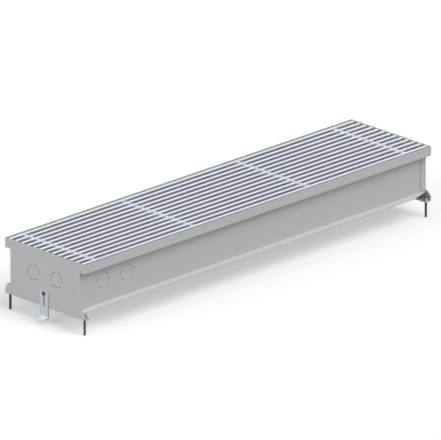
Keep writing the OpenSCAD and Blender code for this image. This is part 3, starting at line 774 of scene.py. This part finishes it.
# %% Turn a button-head screw
def make_button_screw_tree():
    """A button-head screw whose head stands on the site, with its threaded shank below."""
    tree, given, result = maker("button_screw", {
        "Head Radius": 5.25 * MM, "Head Height": 3.3 * MM, "Rim": 0.6 * MM,
        "Socket Flats": 4 * MM, "Socket Depth": 2 * MM,
        "Radius": 3 * MM, "Length": 12.2 * MM, "Pitch": 1 * MM, "Thread Depth": 0.5 * MM,
        "Bevel": 0.6 * MM,
    })
    head = dome(tree, given["Head Radius"], given["Head Height"], given["Rim"])
    to_corner = sums(tree, "DIVIDE", given["Socket Flats"], math.sqrt(3))
    key = cylinder(tree, HEXAGON, to_corner, doubled(tree, given["Socket Depth"]))
    socketed = cut_away(tree, head, raised(tree, key, given["Head Height"]))
    shank = threaded_rod(tree, given["Radius"], given["Length"], given["Pitch"],
                         given["Thread Depth"], given["Bevel"])
    sunk = raised(tree, shank, times(tree, given["Length"], -0.5))
    put_on_sites(tree, given, result, joined(tree, socketed, sunk))
    return tree


SCREW_TREE = make_button_screw_tree()
print("nodes in the screw's tree:", len(SCREW_TREE.nodes))

# %% [markdown]
# ## The screws in the end plates
# Both ends of the casing have the same fitting at the same distance from the middle. They could
# be measured one by one, but one end gives both sites, with the other sign, and the tree mirrors
# the axis. The screws belong to the casing, because a bracket slides along under its screw.

# %% Fit the clamping screws
SHANK_LENGTH = 12.2 * MM
BOTH = (-1, 1)
screws_low, screws_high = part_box("bracket_screws")
washer_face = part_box("bracket_washers")[1].x
screw_y = (screws_low.y + screws_high.y) / 2
screw_z = (screws_low.z + screws_high.z) / 2
seats = [Vector((end * washer_face, screw_y, screw_z)) for end in BOTH]
freeze("button_screws", SCREW_TREE, seats, {
    "Axis": ALONG, "Length": SHANK_LENGTH, "Head Radius": (screws_high.z - screws_low.z) / 2,
    "Head Height": screws_high.x - washer_face,
}, black_oxide, body="casing", replaced="bracket_screws")

# %% [markdown]
# ## Clinch nuts
# Each screw ends in a clinch nut that is pressed into the inner side of the end plate. Such a nut
# has a serrated collar, but that is buried in the sheet and never seen. So the hexagon nut's
# tree serves again, lower and lying on its side.

# %% Press in the clinch nuts
CLINCH_HEIGHT = 5 * MM
clinch_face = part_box("bracket_nuts")[1].x
backs = [Vector((end * (clinch_face - CLINCH_HEIGHT), screw_y, screw_z)) for end in BOTH]
freeze("clinch_nuts", NUT_TREE, backs, {"Axis": ALONG, "Height": CLINCH_HEIGHT}, zinc_plate,
       body="casing", replaced="bracket_nuts")

# %% [markdown]
# ## Rivets
# Six rivets hold the feet of the coil supports to the base plate. A set rivet has a low dome on
# both sides of the sheets. Each dome could be shaped by itself, but the two are alike, so the
# same button is used twice, once upside down, with a plain shank between them.

# %% Make a rivet
def make_rivet_tree():
    """A rivet with two domed heads, whose grip starts at its site."""
    tree, given, result = maker("rivet", {
        "Head Radius": 3.6 * MM, "Head Height": 1 * MM, "Rim": 0.3 * MM,
        "Radius": 2 * MM, "Grip": 2.75 * MM,
    })
    head = dome(tree, given["Head Radius"], given["Head Height"], given["Rim"])
    tail = add(tree, "GeometryNodeTransform", {
        "Geometry": head, "Rotation": (math.pi, 0, 0),
    }).outputs[0]
    shank = cylinder(tree, SIDES, given["Radius"], given["Grip"])
    middle = raised(tree, shank, halved(tree, given["Grip"]))
    rivet = joined(tree, raised(tree, head, given["Grip"]), middle, tail)
    put_on_sites(tree, given, result, rivet)
    return tree


RIVET_TREE = make_rivet_tree()
print("nodes in the rivet's tree:", len(RIVET_TREE.nodes))

# %% [markdown]
# ## The rivets in the feet
# Every support has one foot with two rivets, a fixed margin in from the foot's free edge. The
# near support's foot points to the near end, and the other two point to the far end. The six
# places could be typed in, but the supports' own boxes and the box of the six rivets give them.

# %% Set the rivets
RIVET_RADIUS = 3.6 * MM
RIVET_HEAD = 1 * MM
RIVET_MARGIN = 6.5 * MM
FOOT_SIDE = {"near": -1, "middle": 1, "far": 1}
rivets_low, rivets_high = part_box("support_rivets")
rivet_sites = []
for name, side in FOOT_SIDE.items():
    low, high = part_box("coil_support_" + name)
    x = low.x + RIVET_MARGIN if side < 0 else high.x - RIVET_MARGIN
    for y in (rivets_low.y + RIVET_RADIUS, rivets_high.y - RIVET_RADIUS):
        rivet_sites.append(Vector((x, y, rivets_low.z + RIVET_HEAD)))
freeze("domed_rivets", RIVET_TREE, rivet_sites, {
    "Head Radius": RIVET_RADIUS, "Head Height": RIVET_HEAD,
    "Grip": rivets_high.z - rivets_low.z - 2 * RIVET_HEAD,
}, zinc_plate, body="casing", replaced="support_rivets")

# %% [markdown]
# ## A rippled fin
# The coil's fins are thin aluminium sheets. Shallow upright ripples stiffen them without closing
# the way for the rising air, and the corners are clipped. The fins repeat close together, so one
# has few faces: a slab whose columns follow a sine, with its corners pulled in by a formula. A
# relief could draw the ripples, but the fins are seen on edge, where a relief does nothing.

# %% Ripple a sheet
def rippled_sheet(tree, given):
    """A thin upright slab with ripples across its width and clipped corners."""
    columns = sums(tree, "ADD", given["Columns"], 1.0)
    size = vector(tree, given["Sheet"], given["Width"], given["Height"])
    slab = add(tree, "GeometryNodeMeshCube", {"Size": size, "Vertices Y": columns}).outputs["Mesh"]
    at = position(tree)
    waves = sums(tree, "DIVIDE", times(tree, at["Y"], math.tau), given["Wave"])
    across = sums(tree, "MULTIPLY_ADD", sums(tree, "SINE", waves), given["Ripple"], at["X"])
    to_clip = minus(tree, halved(tree, given["Width"]), given["Clip"])
    past_clip = minus(tree, sums(tree, "ABSOLUTE", at["Y"]), to_clip)
    pulled_in = sums(tree, "MAXIMUM", past_clip, 0.0)
    tall = minus(tree, halved(tree, given["Height"]), pulled_in)
    level = times(tree, sums(tree, "SIGN", at["Z"]), tall)
    bent = vector(tree, across, at["Y"], level)
    return add(tree, "GeometryNodeSetPosition", {"Geometry": slab, "Position": bent}).outputs[0]


print("helper:", rippled_sheet.__name__)

# %% [markdown]
# ## Collars for the pipes
# At each pipe the fin's sheet is drawn out into a collar that reaches almost to the next fin and
# holds the pipe. It could be bent out of the slab itself, but that takes many small faces for a
# form that is hardly seen. So a collar is a short tube: a cylinder less a thinner and longer
# one. The hole in the fin ends half-way into the collar's wall, so no slit is left between them.

# %% Make a fin
COLLAR_SIDES = 20
FIN_COLUMNS = 80


def pipe_cylinder(tree, given, radius, length, side):
    """A lying cylinder round one of the two pipes."""
    to_pipe = vector(tree, y=times(tree, given["Pipe Side"], side))
    return add(tree, "GeometryNodeTransform", {
        "Geometry": cylinder(tree, COLLAR_SIDES, radius, length),
        "Translation": to_pipe, "Rotation": (0, math.pi / 2, 0),
    }).outputs[0]


def make_fin_tree():
    """A rippled fin with two collared bores, which stands across the pipes at its site."""
    tree, given, result = maker("rippled_fin", {
        "Width": 140 * MM, "Height": 56 * MM, "Sheet": 0.5 * MM, "Clip": 6 * MM,
        "Pipe Side": 36 * MM, "Collar": 8.5 * MM, "Bore": 7.6 * MM, "Collar Length": 8.8 * MM,
        "Ripple": 0.45 * MM, "Wave": 14 * MM, "Columns": FIN_COLUMNS,
    })
    through = doubled(tree, given["Collar Length"])
    mid_wall = halved(tree, sums(tree, "ADD", given["Collar"], given["Bore"]))
    holes = [pipe_cylinder(tree, given, mid_wall, through, side) for side in BOTH]
    fin = cut_away(tree, rippled_sheet(tree, given), *holes)
    collars = []
    for side in BOTH:
        outer = pipe_cylinder(tree, given, given["Collar"], given["Collar Length"], side)
        bore = pipe_cylinder(tree, given, given["Bore"], through, side)
        collars.append(cut_away(tree, outer, bore))
    put_on_sites(tree, given, result, joined(tree, fin, *collars))
    return tree


FIN_TREE = make_fin_tree()
print("nodes in the fin's tree:", len(FIN_TREE.nodes))

# %% [markdown]
# ## The fin pack
# The fins stand at an even pitch along the pipes. Their number could be typed in, but it follows
# from the length of the fixed pack, so the first and the last fin lie where the solids have them.
# All of them are one piece, because no fin moves by itself.

# %% Press the fins
FIN_PITCH = 9 * MM
FIN_SHEET = 0.5 * MM
fins_low, fins_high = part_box("fin_pack")
fin_count = round((fins_high.x - fins_low.x - FIN_SHEET) / FIN_PITCH) + 1
fin_middle = (fins_low.z + fins_high.z) / 2
fin_sites = [
    Vector((fins_low.x + FIN_SHEET / 2 + i * FIN_PITCH, 0, fin_middle)) for i in range(fin_count)
]
freeze("rippled_fins", FIN_TREE, fin_sites, {
    "Width": fins_high.y - fins_low.y, "Height": fins_high.z - fins_low.z, "Sheet": FIN_SHEET,
}, thin_aluminium, body="casing", replaced="fin_pack")
print("fins:", fin_count)

# %% [markdown]
# ## Camera
# The photograph is taken from far away with a long lens, so parallel edges stay parallel. The
# camera looks 45 degrees off the long side and 20 degrees down. An orthographic camera would
# come close too, but a far one with a long lens is nearer to how such a picture is taken. Its
# distance and lens are chosen together, so that the frame is as wide at the object as in the
# photograph.

# %% Set the camera
AZIMUTH, ELEVATION = math.radians(-44.9), math.radians(20.2)
DISTANCE = 46.0
FRAME_WIDTH = 0.9745
AIM = Vector((0.0018, -0.0018, 0.1005))

camera = bpy.data.objects.new("camera", bpy.data.cameras.new("camera"))
bpy.context.scene.collection.objects.link(camera)
bpy.context.scene.camera = camera
back = Vector((
    math.sin(AZIMUTH) * math.cos(ELEVATION),
    -math.cos(AZIMUTH) * math.cos(ELEVATION),
    math.sin(ELEVATION),
))
camera.location = AIM + back * DISTANCE
camera.rotation_euler = (-back).to_track_quat("-Z", "Y").to_euler()
camera.data.lens = camera.data.sensor_width * DISTANCE / FRAME_WIDTH
camera.data.clip_end = 2 * DISTANCE
print("lens in mm:", round(camera.data.lens))

# %% [markdown]
# ## Floor
# The object stands on a plain white floor that has no edge in the photograph, so one wide square
# is enough. A floor that is white by itself would throw too much light up at the object. So the
# floor is a middling grey, and a glow that only the camera sees lifts it to the photograph's
# white.

# %% Lay the floor
WHITE = (1.0, 1.0, 1.0, 1.0)
FLOOR_HALF = 30.0
FLOOR_TONE = 0.5
FLOOR_LIFT = 0.44
FLOOR_ROUGHNESS = 0.9
floor_mesh = bpy.data.meshes.new("floor")
floor_mesh.from_pydata(
    [(-FLOOR_HALF, -FLOOR_HALF, 0), (FLOOR_HALF, -FLOOR_HALF, 0),
     (FLOOR_HALF, FLOOR_HALF, 0), (-FLOOR_HALF, FLOOR_HALF, 0)],
    [], [(0, 1, 2, 3)],
)
floor = bpy.data.objects.new("floor", floor_mesh)
bpy.context.scene.collection.objects.link(floor)
floor_paper = bpy.data.materials.new("floor_paper")
floor_paper.use_nodes = True
paper_tree = floor_paper.node_tree
paper = paper_tree.nodes["Principled BSDF"]
paper.inputs["Base Color"].default_value = (FLOOR_TONE, FLOOR_TONE, FLOOR_TONE, 1.0)
paper.inputs["Roughness"].default_value = FLOOR_ROUGHNESS
paper.inputs["Specular IOR Level"].default_value = 0.0
paper.inputs["Emission Color"].default_value = WHITE
by_eye = add(paper_tree, "ShaderNodeLightPath").outputs["Is Camera Ray"]
lift = times(paper_tree, by_eye, FLOOR_LIFT)
paper_tree.links.new(lift, paper.inputs["Emission Strength"])
floor_mesh.materials.append(floor_paper)
print("floor side in m:", 2 * FLOOR_HALF)

# %% [markdown]
# ## Light
# The studio is soft and bright. A white sky and the light that comes back from the floor reach
# everything; the sky is full white only where it is seen or mirrored. Three broad lamps do the
# rest: a low one lights the near end, and two at different heights light the long side, so both
# faces get the same level, what faces up is a little brighter, and the shadow falls behind the
# object. Each stands a few degrees round behind its face, so that the fold between the two faces
# isn't the brightest. Area lamps could do this, but a sun with a wide disc lights the whole
# length evenly. Each lamp has an angle round the object, an angle above the floor and a level.
# A sun of strength pi lights a white face that looks straight at it to a level of one.

# %% Light the studio
SKY_LEVEL = 0.4
LAMP_SPREAD = math.radians(40)
LAMPS = {
    "end_softbox": (-100, 17, 0.515),
    "side_softbox": (8, 35, 0.3),
    "high_softbox": (8, 60, 0.52),
}
FULL_SUN = math.pi

world = bpy.data.worlds.new("studio")
bpy.context.scene.world = world
world.use_nodes = True
sky_tree = world.node_tree
rays = add(sky_tree, "ShaderNodeLightPath").outputs
seen = sums(sky_tree, "MAXIMUM", rays["Is Camera Ray"], rays["Is Glossy Ray"])
sky_strength = add(sky_tree, "ShaderNodeMapRange", {
    "Value": seen, "To Min": SKY_LEVEL, "To Max": 1.0,
}).outputs[0]
sky = sky_tree.nodes["Background"]
sky.inputs["Color"].default_value = WHITE
sky_tree.links.new(sky_strength, sky.inputs["Strength"])

for name, (azimuth, height, level) in LAMPS.items():
    lamp = bpy.data.objects.new(name, bpy.data.lights.new(name, "SUN"))
    lamp.data.energy = level * FULL_SUN
    lamp.data.angle = LAMP_SPREAD
    lamp.rotation_euler = (math.radians(90 - height), 0, math.radians(azimuth))
    bpy.context.scene.collection.objects.link(lamp)
bpy.context.scene.view_settings.view_transform = "Standard"
print("lamps:", *LAMPS)
